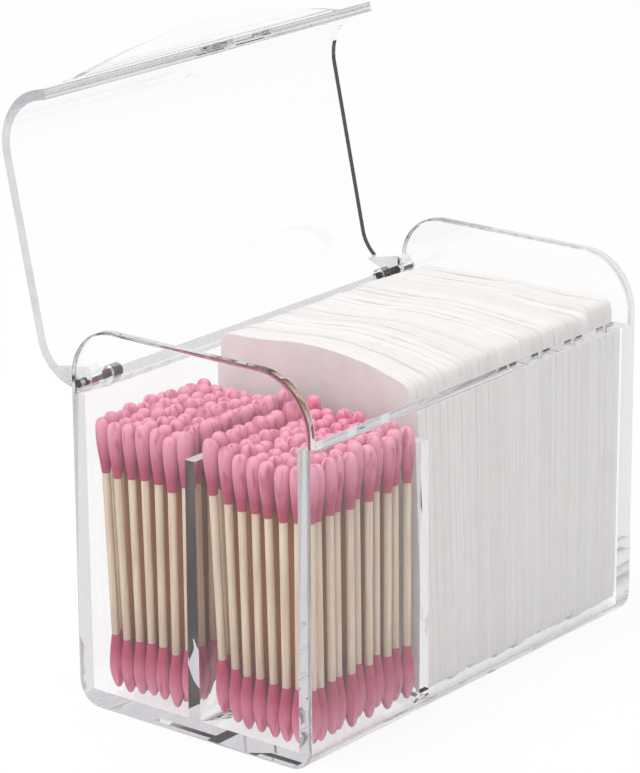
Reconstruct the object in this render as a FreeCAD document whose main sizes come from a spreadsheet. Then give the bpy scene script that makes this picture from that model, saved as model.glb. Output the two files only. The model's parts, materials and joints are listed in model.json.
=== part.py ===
"""Clear storage box with a hinged lid, filled with cotton swabs and cotton pads.

Sizes are in millimetres and degrees. The origin is the centre of the underside: +X runs along the
length, -Y is the front and +Z is up. The lid is drawn closed, about the line of its two pins, and is
then swung open until it rests on the edge of the back rim.
"""
import FreeCAD, Part
import math
import os
import re

import Sketcher
from FreeCAD import Placement, Rotation, Vector

# Driving sizes: name, value and what it measures.
SIZES = [
    ("box_length", 143.0, "outside length of the box"),
    ("box_width", 79.0, "outside width of the box, front to back"),
    ("rim_height", 86.0, "height of the front and back rims"),
    ("arch_rise", 19.0, "rise of the two end panels above the rim"),
    ("front_radius", 16.0, "upper front corner of the end panels and the lid"),
    ("back_radius", 14.0, "upper back corner of the end panels and the lid"),
    ("foot_radius", 7.0, "rounding of the long bottom edges"),
    ("floor_thick", 4.3, "floor"),
    ("end_wall", 3.2, "end panels, at the rim"),
    ("front_wall", 5.0, "front wall, at the rim"),
    ("back_wall", 3.2, "back wall, at the rim"),
    ("wall_draft", 0.3, "moulding draft on every face inside the compartments"),
    ("edge_round", 0.8, "rounding of the end panels' outlines"),
    ("rim_round", 0.4, "rounding of the front and back rims"),
    ("divider_thick", 3.2, "dividers, at their top edge"),
    ("divider_drop", 10.6, "top of the dividers below the rim"),
    ("swab_room", 45.6, "length of the two swab compartments, at the rim"),
    ("open_angle", 102.0, "turn of the lid from closed to its stop"),
    ("stop_gap", 0.15, "flat back of the hinge ears to the edge of the back rim, when open"),
    ("pin_rise", 3.4, "pin line above the rim"),
    ("pin_diameter", 2.3, "hinge pins"),
    ("pin_clearance", 0.05, "radial running clearance of the pins in the lid"),
    ("ear_thick", 4.2, "hinge ears of the lid, along the pins"),
    ("ear_depth", 4.0, "hinge ears inside the pin line"),
    ("ear_corner", 2.0, "rounding of the ears' lower inside corner"),
    ("lug_space", 5.0, "free pin between an ear and its lug"),
    ("lug_thick", 3.4, "hinge lugs on the back rim, along the pins"),
    ("lug_radius", 2.1, "round top of the hinge lugs"),
    ("lug_root", 2.0, "depth that the lugs reach into the back wall"),
    ("swing_gap", 0.9, "lid to the hinge lugs, while it turns"),
    ("lid_thick", 2.8, "sheet of the lid"),
    ("lid_side_gap", 0.8, "lid to each end panel"),
    ("lip_gap", 0.3, "front lip of the lid above the rim, when closed"),
    ("tab_chord", 108.0, "length of the curved finger tab"),
    ("tab_reach", 6.3, "reach of the finger tab in front of the lid"),
    ("tab_thick", 2.8, "finger tab"),
    ("tab_fillet", 3.2, "hollow fillet between the tab and the lid"),
    ("swab_length", 75.0, "cotton swab, tip to tip"),
    ("swab_gap", 0.4, "room between the sides of neighbouring tips"),
    ("tip_diameter", 4.5, "cotton tip at its widest, across its corners"),
    ("tip_end", 2.8, "flat end of a cotton tip, across"),
    ("tip_bulge", 4.0, "widest place of a tip from its end"),
    ("tip_length", 15.0, "cotton tip along the stick"),
    ("stick_diameter", 2.3, "wooden stick"),
    ("pad_count", 30, "cotton pads, pressed together to fill their compartment"),
    ("pad_height", 87.0, "cotton pad, standing"),
    ("pad_front_gap", 0.5, "pads to the front wall, at the floor"),
    ("pad_back_gap", 2.7, "pads to the back wall, at the floor, clear of the hinge"),
    ("pad_corner", 5.0, "cut corner of a pad"),
    ("content_gap", 0.15, "contents to the walls beside them, at the floor"),
]
NAMES = [name for name, _, _ in SIZES]

# Places worked out from the driving sizes.
TOP = "(rim_height + arch_rise)"
PIN_INSET = "((pin_rise * sin(open_angle) - stop_gap) / (1 - cos(open_angle)))"
PIN_Y = f"(box_width / 2 - {PIN_INSET})"
PIN_Z = "(rim_height + pin_rise)"
INNER_LEFT = "(-box_length / 2 + end_wall)"
INNER_RIGHT = "(box_length / 2 - end_wall)"
INNER_FRONT = "(-box_width / 2 + front_wall)"
INNER_BACK = "(box_width / 2 - back_wall)"
DIVIDER_AT_RIM = "(divider_thick / 2 - divider_drop * tan(wall_draft))"
CROSS_X = f"({INNER_LEFT} + swab_room + divider_thick / 2)"
MIDDLE_Y = f"(({INNER_FRONT} + {INNER_BACK}) / 2)"
SWAB_END = f"({CROSS_X} - {DIVIDER_AT_RIM})"
PAD_END = f"({CROSS_X} + {DIVIDER_AT_RIM})"
MIDDLE_FRONT = f"({MIDDLE_Y} - {DIVIDER_AT_RIM})"
MIDDLE_BACK = f"({MIDDLE_Y} + {DIVIDER_AT_RIM})"
LEAN = "((rim_height - floor_thick) * tan(wall_draft))"
LID_LENGTH = "(box_length - 2 * end_wall - 2 * lid_side_gap)"
LUG_X = "(box_length / 2 - end_wall - lid_side_gap - ear_thick - lug_space - lug_thick)"
SIDES = (("left", -1), ("right", 1))
SWAB_SIDES = 6

document = FreeCAD.newDocument("CottonPadBox")
sheet = document.addObject("Spreadsheet::Sheet", "Sizes")
for row, (name, value, meaning) in enumerate(SIZES, start=1):
    sheet.set(f"A{row}", name)
    sheet.set(f"B{row}", str(value))
    sheet.set(f"C{row}", meaning)
    sheet.setAlias(f"B{row}", name)
document.recompute()

WORD = re.compile(r"\b(" + "|".join(NAMES) + r")\b")


def bound(formula):
    """The formula as other objects read it, with each size taken from the sheet."""
    return WORD.sub(r"Sizes.\1", formula)


def size(formula):
    """The formula's value now."""
    return float(sheet.evalExpression(formula))


def new_body(name):
    """An empty body whose label is the piece's name."""
    body = document.addObject("PartDesign::Body", name)
    body.Label = name
    return body


def new_sketch(body, name, plane, height="0"):
    """A sketch on one of the body's own origin planes, moved along the plane's normal."""
    planes = {feature.Role: feature for feature in body.Origin.OriginFeatures}
    sketch = body.newObject("Sketcher::SketchObject", name)
    sketch.AttachmentSupport = (planes[plane], [""])
    sketch.MapMode = "FlatFace"
    sketch.setExpression("AttachmentOffset.Base.z", bound(height))
    return sketch


def hold(sketch, kind, geometry, vertex, formula):
    """Hold one coordinate of a sketch point at the formula's value."""
    constraint = Sketcher.Constraint(kind, -1, 1, geometry, vertex, size(formula))
    number = sketch.addConstraint(constraint)
    sketch.setExpression(f"Constraints[{number}]", bound(formula))


def arc_between(start, end, radius, turn):
    """The shorter arc from start to end: turn is 1 anticlockwise and -1 clockwise."""
    chord = end - start
    away = math.sqrt(max(radius ** 2 - (chord.Length / 2) ** 2, 0.0))
    sideways = Vector(-chord.y, chord.x, 0).normalize() * away * turn
    centre = (start + end) / 2 + sideways
    first, last = (start, end) if turn > 0 else (end, start)
    angles = [math.atan2(point.y - centre.y, point.x - centre.x) for point in (first, last)]
    if angles[1] < angles[0]:
        angles[1] += 2 * math.pi
    return Part.ArcOfCircle(Part.Circle(centre, Vector(0, 0, 1), radius), *angles)


def outline(sketch, corners):
    """Draw a closed outline through its corners.

    A corner is (across, up) or, where an arc leaves it, (across, up, radius, turn).
    """
    points = [Vector(size(corner[0]), size(corner[1]), 0) for corner in corners]
    joins = []
    for index, corner in enumerate(corners):
        start = points[index]
        end = points[(index + 1) % len(points)]
        if len(corner) == 2:
            number = sketch.addGeometry(Part.LineSegment(start, end), False)
            joins.append((number, 1, 2))
            continue
        radius, turn = corner[2:]
        number = sketch.addGeometry(arc_between(start, end, size(radius), turn), False)
        joins.append((number, 1, 2) if turn > 0 else (number, 2, 1))
    for index, (number, start_vertex, _) in enumerate(joins):
        previous, _, end_vertex = joins[index - 1]
        sketch.addConstraint(Sketcher.Constraint("Coincident", previous, end_vertex, number, start_vertex))
    for corner, (number, start_vertex, _) in zip(corners, joins):
        hold(sketch, "DistanceX", number, start_vertex, corner[0])
        hold(sketch, "DistanceY", number, start_vertex, corner[1])
        if len(corner) > 2:
            radius_number = sketch.addConstraint(Sketcher.Constraint("Radius", number, size(corner[2])))
            sketch.setExpression(f"Constraints[{radius_number}]", bound(corner[2]))


def rectangle(sketch, left, right, low, high):
    """Draw an upright rectangle between four formulas."""
    outline(sketch, [(left, low), (right, low), (right, high), (left, high)])


def circle(sketch, across, up, radius):
    """Draw a circle about a point."""
    centre = Vector(size(across), size(up), 0)
    number = sketch.addGeometry(Part.Circle(centre, Vector(0, 0, 1), size(radius)), False)
    radius_number = sketch.addConstraint(Sketcher.Constraint("Radius", number, size(radius)))
    sketch.setExpression(f"Constraints[{radius_number}]", bound(radius))
    hold(sketch, "DistanceX", number, 3, across)
    hold(sketch, "DistanceY", number, 3, up)


def extrude(body, kind, name, sketch, length, both_ways=False):
    """Pad or pocket a sketch by a length. It must change the body's volume the right way."""
    before = body.Shape.Volume if not body.Shape.isNull() else 0.0
    feature = body.newObject(f"PartDesign::{kind}", name)
    feature.Profile = sketch
    feature.SideType = "Symmetric" if both_ways else "One side"
    feature.setExpression("Length", bound(length))
    document.recompute()
    change = feature.Shape.Volume - before
    if change == 0 or (change > 0) != (kind == "Pad"):
        raise RuntimeError(f"{name} changes nothing")
    return feature


def hollow(body, name, across, depth, bottom):
    """Cut a room from the rim down. Its four walls lean in towards the bottom by the draft."""
    before = body.Shape.Volume
    left, right = across
    front, back = depth
    lean = f"(rim_height - ({bottom})) * tan(wall_draft)"
    room = body.newObject("PartDesign::SubtractiveWedge", name)
    room.Placement = Placement(Vector(0, 0, 0), Rotation(Vector(1, 0, 0), 90))
    for key, formula in (
            ("Ymin", bottom), ("Ymax", "rim_height"),
            ("Xmin", f"{left} + {lean}"), ("Xmax", f"{right} - {lean}"),
            ("X2min", left), ("X2max", right),
            ("Zmin", f"-({back}) + {lean}"), ("Zmax", f"-({front}) - {lean}"),
            ("Z2min", f"-({back})"), ("Z2max", f"-({front})")):
        room.setExpression(key, bound(formula))
    document.recompute()
    if room.Shape.Volume >= before:
        raise RuntimeError(f"{name} cuts nothing")


def mirror(body, name, feature):
    """Repeat a feature on the other side of the body's middle."""
    planes = {item.Role: item for item in body.Origin.OriginFeatures}
    before = body.Shape.Volume
    copy = body.newObject("PartDesign::Mirrored", name)
    copy.Originals = [feature]
    copy.MirrorPlane = (planes["YZ_Plane"], [""])
    body.Tip = copy
    document.recompute()
    if copy.Shape.Volume <= before:
        raise RuntimeError(f"{name} adds nothing")


def round_edges(body, name, radius, wanted):
    """Fillet the tip's edges whose bounding box passes the test."""
    tip = body.Tip
    edges = [f"Edge{number}" for number, edge in enumerate(tip.Shape.Edges, start=1)
             if wanted(edge.BoundBox)]
    if not edges:
        raise RuntimeError(f"{name} finds no edge")
    fillet = body.newObject("PartDesign::Fillet", name)
    fillet.Base = (tip, edges)
    fillet.setExpression("Radius", bound(radius))
    document.recompute()
    if fillet.Shape.Volume >= tip.Shape.Volume:
        raise RuntimeError(f"{name} rounds nothing")


def near(value, target):
    """Whether two lengths agree."""
    return abs(value - target) < 1e-4


def place(piece, across, depth, up):
    """Bind a piece's position to the sheet."""
    for axis, formula in zip("xyz", (across, depth, up)):
        piece.setExpression(f"Placement.Base.{axis}", bound(formula))


def make_box():
    """The box: floor, walls, arched end panels, dividers and hinge lugs, in one moulding."""
    body = new_body("box_body")
    section = new_sketch(body, "EndOutline", "YZ_Plane")
    outline(section, [
        ("-box_width / 2 + foot_radius", "0"),
        ("box_width / 2 - foot_radius", "0", "foot_radius", 1),
        ("box_width / 2", "foot_radius"),
        ("box_width / 2", f"{TOP} - back_radius", "back_radius", 1),
        ("box_width / 2 - back_radius", TOP),
        ("-box_width / 2 + front_radius", TOP, "front_radius", 1),
        ("-box_width / 2", f"{TOP} - front_radius"),
        ("-box_width / 2", "foot_radius", "foot_radius", 1),
    ])
    extrude(body, "Pad", "Block", section, "box_length", both_ways=True)

    mouth = new_sketch(body, "MouthOutline", "XZ_Plane")
    rectangle(mouth, INNER_LEFT, INNER_RIGHT, "rim_height", f"{TOP} + arch_rise")
    extrude(body, "Pocket", "Mouth", mouth, "2 * box_width", both_ways=True)

    hollow(body, "PadRoom", (PAD_END, INNER_RIGHT), (INNER_FRONT, INNER_BACK), "floor_thick")
    hollow(body, "FrontSwabRoom", (INNER_LEFT, SWAB_END), (INNER_FRONT, MIDDLE_FRONT), "floor_thick")
    hollow(body, "BackSwabRoom", (INNER_LEFT, SWAB_END), (MIDDLE_BACK, INNER_BACK), "floor_thick")
    throat_floor = "rim_height - divider_drop"
    hollow(body, "Throat", (INNER_LEFT, INNER_RIGHT), (INNER_FRONT, INNER_BACK), throat_floor)

    lug = new_sketch(body, "LugOutline", "YZ_Plane", LUG_X)
    outline(lug, [
        (INNER_BACK, "rim_height - lug_root"),
        (INNER_BACK, "rim_height"),
        (f"{PIN_Y} - lug_radius", PIN_Z, "lug_radius", -1),
        (PIN_Y, f"{PIN_Z} + lug_radius", "lug_radius", -1),
        (f"{PIN_Y} + lug_radius", PIN_Z),
        (f"{PIN_Y} + lug_radius", "rim_height - lug_root"),
    ])
    mirror(body, "Lugs", extrude(body, "Pad", "Lug", lug, "lug_thick"))

    bore = new_sketch(body, "PinHoleOutline", "YZ_Plane")
    circle(bore, PIN_Y, PIN_Z, "pin_diameter / 2")
    extrude(body, "Pocket", "PinHoles", bore, "2 * box_length", both_ways=True)

    end = size("box_length / 2")
    inner_end = size(INNER_RIGHT)
    rim = size("rim_height")
    pin_z = size(PIN_Z)
    pin_y = size(PIN_Y)
    hole = size("pin_diameter")

    def is_pin_hole(box):
        return near(box.Center.y, pin_y) and near(box.Center.z, pin_z) and near(box.ZLength, hole)

    def on_end_outline(box):
        outer = near(box.XLength, 0) and near(abs(box.Center.x), end)
        inner = near(box.XLength, 0) and near(abs(box.Center.x), inner_end) and box.ZMin > rim - 1e-4
        flat = near(box.ZLength, 0) and near(box.ZMin, rim)
        return (outer or inner) and not flat and not is_pin_hole(box)

    round_edges(body, "EndRounds", "edge_round", on_end_outline)

    wall_lines = [size("-box_width / 2"), size(INNER_FRONT)]

    def on_front_rim(box):
        return near(box.ZLength, 0) and near(box.ZMin, rim) and any(
            near(box.YMin, line) and near(box.YMax, line) for line in wall_lines)

    round_edges(body, "RimRounds", "rim_round", on_front_rim)
    return body


# The lid's own frame has its origin on the pin line, with the lid closed.
LID_FRONT = f"(-box_width / 2 - {PIN_Y})"
LID_TOP = "(arch_rise - pin_rise)"
LIP_END = "(lip_gap - pin_rise)"
BACK_CENTRE_Y = f"({PIN_INSET} - back_radius)"
BACK_CENTRE_Z = f"({LID_TOP} - back_radius)"
BACK_EDGE = f"asin((lug_radius + swing_gap - {BACK_CENTRE_Z}) / back_radius)"
INSIDE_FRONT = "(front_radius - lid_thick)"
INSIDE_BACK = "(back_radius - lid_thick)"
EAR_MIDDLE = "(back_radius - lid_thick / 2)"
EAR_TOP = f"acos((-ear_depth - {BACK_CENTRE_Y}) / {EAR_MIDDLE})"
TAB_RADIUS = "((tab_chord * tab_chord / 4 + tab_reach * tab_reach) / (2 * tab_reach))"


def on_back_corner(radius, angle):
    """A point at a radius and angle about the centre of the lid's back corner."""
    return (f"{BACK_CENTRE_Y} + {radius} * cos({angle})", f"{BACK_CENTRE_Z} + {radius} * sin({angle})")


def make_lid():
    """The lid: a bent sheet with a curved finger tab in front and a hinge ear at each back corner."""
    body = new_body("lid")
    sheet_section = new_sketch(body, "SheetOutline", "YZ_Plane")
    outer_end = on_back_corner("back_radius", BACK_EDGE)
    inner_end = on_back_corner(INSIDE_BACK, BACK_EDGE)
    outline(sheet_section, [
        (LID_FRONT, LIP_END),
        (LID_FRONT, f"{LID_TOP} - front_radius", "front_radius", -1),
        (f"{LID_FRONT} + front_radius", LID_TOP),
        (BACK_CENTRE_Y, LID_TOP, "back_radius", -1),
        outer_end,
        (*inner_end, INSIDE_BACK, 1),
        (BACK_CENTRE_Y, f"{LID_TOP} - lid_thick"),
        (f"{LID_FRONT} + front_radius", f"{LID_TOP} - lid_thick", INSIDE_FRONT, 1),
        (f"{LID_FRONT} + lid_thick", f"{LID_TOP} - front_radius"),
        (f"{LID_FRONT} + lid_thick", LIP_END),
    ])
    extrude(body, "Pad", "BentSheet", sheet_section, LID_LENGTH, both_ways=True)

    tab = new_sketch(body, "TabSection", "YZ_Plane")
    tab_top = f"{LIP_END} + tab_thick"
    outline(tab, [
        (f"{LID_FRONT} + lid_thick / 2", LIP_END),
        (f"{LID_FRONT} - tab_reach", LIP_END),
        (f"{LID_FRONT} - tab_reach", tab_top),
        (f"{LID_FRONT} - tab_fillet", tab_top, "tab_fillet", 1),
        (LID_FRONT, f"{tab_top} + tab_fillet"),
        (f"{LID_FRONT} + lid_thick / 2", f"{tab_top} + tab_fillet"),
    ])
    extrude(body, "Pad", "Tab", tab, "tab_chord", both_ways=True)

    trim = new_sketch(body, "TabCurve", "XY_Plane")
    beyond = f"{LID_FRONT} - 2 * tab_reach"
    outline(trim, [
        ("-tab_chord / 2", LID_FRONT, TAB_RADIUS, 1),
        ("tab_chord / 2", LID_FRONT),
        ("tab_chord / 2 + tab_reach", LID_FRONT),
        ("tab_chord / 2 + tab_reach", beyond),
        ("-tab_chord / 2 - tab_reach", beyond),
        ("-tab_chord / 2 - tab_reach", LID_FRONT),
    ])
    through = "2 * (pin_rise + tab_thick + tab_fillet + lip_gap)"
    extrude(body, "Pocket", "TabTrim", trim, through, both_ways=True)

    ear = new_sketch(body, "EarOutline", "YZ_Plane", f"{LID_LENGTH} / 2 - ear_thick")
    outline(ear, [
        ("0", f"-{PIN_INSET}", PIN_INSET, 1),
        (PIN_INSET, "0"),
        (PIN_INSET, BACK_CENTRE_Z, "back_radius", 1),
        on_back_corner("back_radius", EAR_TOP),
        on_back_corner(EAR_MIDDLE, EAR_TOP),
        ("-ear_depth", f"-{PIN_INSET} + ear_corner", "ear_corner", 1),
        ("-ear_depth + ear_corner", f"-{PIN_INSET}"),
    ])
    mirror(body, "Ears", extrude(body, "Pad", "Ear", ear, "ear_thick"))

    bore = new_sketch(body, "EarHoleOutline", "YZ_Plane")
    circle(bore, "0", "0", "pin_diameter / 2 + pin_clearance")
    extrude(body, "Pocket", "EarHoles", bore, "2 * box_length", both_ways=True)

    body.Placement = Placement(Vector(0, 0, 0), Rotation(Vector(-1, 0, 0), size("open_angle")))
    body.setExpression("Placement.Rotation.Angle", bound("open_angle"))
    place(body, "0", PIN_Y, PIN_Z)
    return body


def make_pin(side, sign):
    """A hinge pin: flush with the end panel outside and with the far face of the lug inside."""
    pin = document.addObject("Part::Cylinder", f"hinge_pin_{side}")
    pin.Label = f"hinge_pin_{side}"
    pin.setExpression("Radius", bound("pin_diameter / 2"))
    pin.setExpression("Height", bound(f"box_length / 2 - {LUG_X}"))
    pin.Placement = Placement(Vector(0, 0, 0), Rotation(Vector(0, sign, 0), 90))
    place(pin, f"{sign} * {LUG_X}", PIN_Y, PIN_Z)
    return pin


def make_solid(rings):
    """A closed solid with flat faces through rings of points, from the bottom ring to the top one."""
    faces = [Part.Face(Part.makePolygon(ring + ring[:1])) for ring in (rings[0], rings[-1])]
    for lower, upper in zip(rings, rings[1:]):
        for index, corner in enumerate(lower):
            following = (index + 1) % len(lower)
            side = [corner, lower[following], upper[following], upper[index], corner]
            faces.append(Part.Face(Part.makePolygon(side)))
    return Part.makeSolid(Part.makeShell(faces))


def swab_shape():
    """One plain cotton swab standing on its tip, with flat sides and widest near each end."""
    length = size("swab_length")
    lower_half = [
        (size("tip_end / 2"), 0.0),
        (size("tip_diameter / 2"), size("tip_bulge")),
        (size("stick_diameter / 2"), size("tip_length")),
    ]
    upper_half = [(radius, length - height) for radius, height in reversed(lower_half)]
    turns = [2 * math.pi * corner / SWAB_SIDES for corner in range(SWAB_SIDES)]
    return make_solid([
        [Vector(radius * math.cos(turn), radius * math.sin(turn), height) for turn in turns]
        for radius, height in lower_half + upper_half
    ])


def spread(low, high, pitch):
    """Places from low to high, both included, evenly spaced and no closer than the pitch."""
    gaps = max(int((high - low) / pitch + 1e-6), 1)
    return [low + (high - low) * index / gaps for index in range(gaps + 1)]


def make_swabs(lane, front, back):
    """The swabs of one compartment, one piece for each row that runs from front to back.

    Every second row is moved by half a swab, so that its tips stand in the gaps of its neighbours.
    """
    narrowing = size(f"{LEAN} + content_gap")
    corner = size("tip_diameter / 2")
    flat = corner * math.cos(math.pi / SWAB_SIDES)
    pitch = 2 * flat + size("swab_gap")
    left = size(INNER_LEFT) + narrowing + corner
    right = size(SWAB_END) - narrowing - corner
    first = size(front) + narrowing + flat
    last = size(back) - narrowing - flat
    count = max(int((last - first) / pitch + 0.5 + 1e-6), 1)
    step = (last - first) / (count - 0.5)
    swab = swab_shape()
    rows = []
    for number, across in enumerate(spread(left, right, pitch * math.cos(math.pi / SWAB_SIDES))):
        shift = step / 2 * (number % 2)
        row = document.addObject("Part::Feature", f"swabs_{lane}_{number + 1:02d}")
        row.Label = f"swabs_{lane}_{number + 1:02d}"
        row.Shape = Part.makeCompound([
            swab.translated(Vector(0, first + shift + step * index, 0)) for index in range(count)
        ])
        row.Placement = Placement(Vector(across, 0, size("floor_thick")), Rotation())
        rows.append(row)
    return rows


def pad_shape(thick):
    """One cotton pad standing on edge: a plate with cut corners."""
    front = size(f"{INNER_FRONT} + {LEAN} + pad_front_gap")
    back = size(f"{INNER_BACK} - {LEAN} - pad_back_gap")
    height = size("pad_height")
    cut = size("pad_corner")
    corners = [
        (front + cut, 0), (back - cut, 0), (back, cut), (back, height - cut),
        (back - cut, height), (front + cut, height), (front, height - cut), (front, cut),
    ]
    face = Part.Face(Part.makePolygon([Vector(0, *corner) for corner in corners + corners[:1]]))
    return face.extrude(Vector(thick, 0, 0))


def make_pads():
    """The pads, face to face from the cross divider to the right end panel."""
    start = size(f"{PAD_END} + {LEAN} + content_gap")
    end = size(f"{INNER_RIGHT} - {LEAN} - content_gap")
    count = int(size("pad_count"))
    thick = (end - start) / count
    pads = []
    for number in range(count):
        pad = document.addObject("Part::Feature", f"cotton_pad_{number + 1:02d}")
        pad.Label = f"cotton_pad_{number + 1:02d}"
        pad.Shape = pad_shape(thick)
        pad.Placement = Placement(Vector(start + number * thick, 0, size("floor_thick")), Rotation())
        pads.append(pad)
    return pads


def check(pieces):
    """Stop if an object failed, or if a piece has no sound shape."""
    for item in document.Objects:
        if {"Invalid", "Error"} & set(item.State):
            raise RuntimeError(f"{item.Name} failed: {item.State}")
    for piece in pieces:
        if piece.Shape.isNull() or not piece.Shape.isValid() or piece.Shape.Volume <= 0:
            raise RuntimeError(f"{piece.Label} has no sound shape")


def main():
    """Build every piece, check it and write it to its own file."""
    pieces = [make_box(), make_lid()]
    pieces += [make_pin(side, sign) for side, sign in SIDES]
    pieces += make_swabs("front", INNER_FRONT, MIDDLE_FRONT)
    pieces += make_swabs("back", MIDDLE_BACK, INNER_BACK)
    pieces += make_pads()
    document.recompute()
    check(pieces)
    os.makedirs("parts", exist_ok=True)
    for piece in pieces:
        piece.Shape.exportStep(f"parts/{piece.Label}.step")
        box = piece.Shape.BoundBox
        print(f"{piece.Label:18} {piece.Shape.Volume:10.1f} mm3  x {box.XMin:7.2f} {box.XMax:7.2f}"
              f"  y {box.YMin:7.2f} {box.YMax:7.2f}  z {box.ZMin:7.2f} {box.ZMax:7.2f}")


main()
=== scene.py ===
"""Dresses the cotton pad storage box: clear mouldings, steel pins, wound cotton swabs and soft cotton pads.

All sizes are in metres and all angles in degrees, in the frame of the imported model.
"""

import json
import logging
import math
import random
from dataclasses import dataclass, field
from enum import Enum

import bpy
from mathutils import Matrix, Vector, noise

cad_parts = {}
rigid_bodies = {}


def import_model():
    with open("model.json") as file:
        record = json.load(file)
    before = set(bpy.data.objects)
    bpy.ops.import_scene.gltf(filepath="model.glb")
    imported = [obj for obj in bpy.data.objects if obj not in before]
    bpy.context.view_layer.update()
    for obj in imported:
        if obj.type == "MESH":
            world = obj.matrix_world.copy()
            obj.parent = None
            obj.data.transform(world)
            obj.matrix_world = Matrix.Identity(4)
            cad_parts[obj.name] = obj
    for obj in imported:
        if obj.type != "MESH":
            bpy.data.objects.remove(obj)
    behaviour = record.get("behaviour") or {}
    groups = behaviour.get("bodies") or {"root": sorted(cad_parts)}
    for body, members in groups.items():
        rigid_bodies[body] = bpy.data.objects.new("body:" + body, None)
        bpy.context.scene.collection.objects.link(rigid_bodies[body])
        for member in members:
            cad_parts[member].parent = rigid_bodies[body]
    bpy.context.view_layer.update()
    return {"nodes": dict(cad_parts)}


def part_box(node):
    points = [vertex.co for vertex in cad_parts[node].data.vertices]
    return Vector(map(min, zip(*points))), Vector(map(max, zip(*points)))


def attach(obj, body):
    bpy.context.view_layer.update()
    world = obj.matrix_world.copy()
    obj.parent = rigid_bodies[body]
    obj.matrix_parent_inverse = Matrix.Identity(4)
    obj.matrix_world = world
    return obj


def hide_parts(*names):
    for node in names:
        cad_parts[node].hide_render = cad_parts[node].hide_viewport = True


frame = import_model()
LOG = logging.getLogger("cotton_pad_box")
MM = 0.001
SEED = 20
HALF_STEP = 0.5  # Bounces are counted in whole steps, so a limit lies half a step beside its count.
WHITE = (1.0, 1.0, 1.0)

Colour = tuple[float, float, float]
Triple = tuple[float, float, float]
Pair = tuple[float, float]
Socket = bpy.types.NodeSocket


class Body(Enum):
    """The two bodies of the model."""

    BOX = "box"
    LID = "lid"


class Slot(Enum):
    """The record's material slots."""

    CLEAR = "clear_plastic"
    STEEL = "steel"
    PINK = "pink_cotton"
    WOOD = "stick_wood"
    WHITE = "white_cotton"


class Lane(Enum):
    """The two compartments of swabs."""

    FRONT = "front"
    BACK = "back"


# ---------------------------------------------------------------- shader helpers


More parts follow.
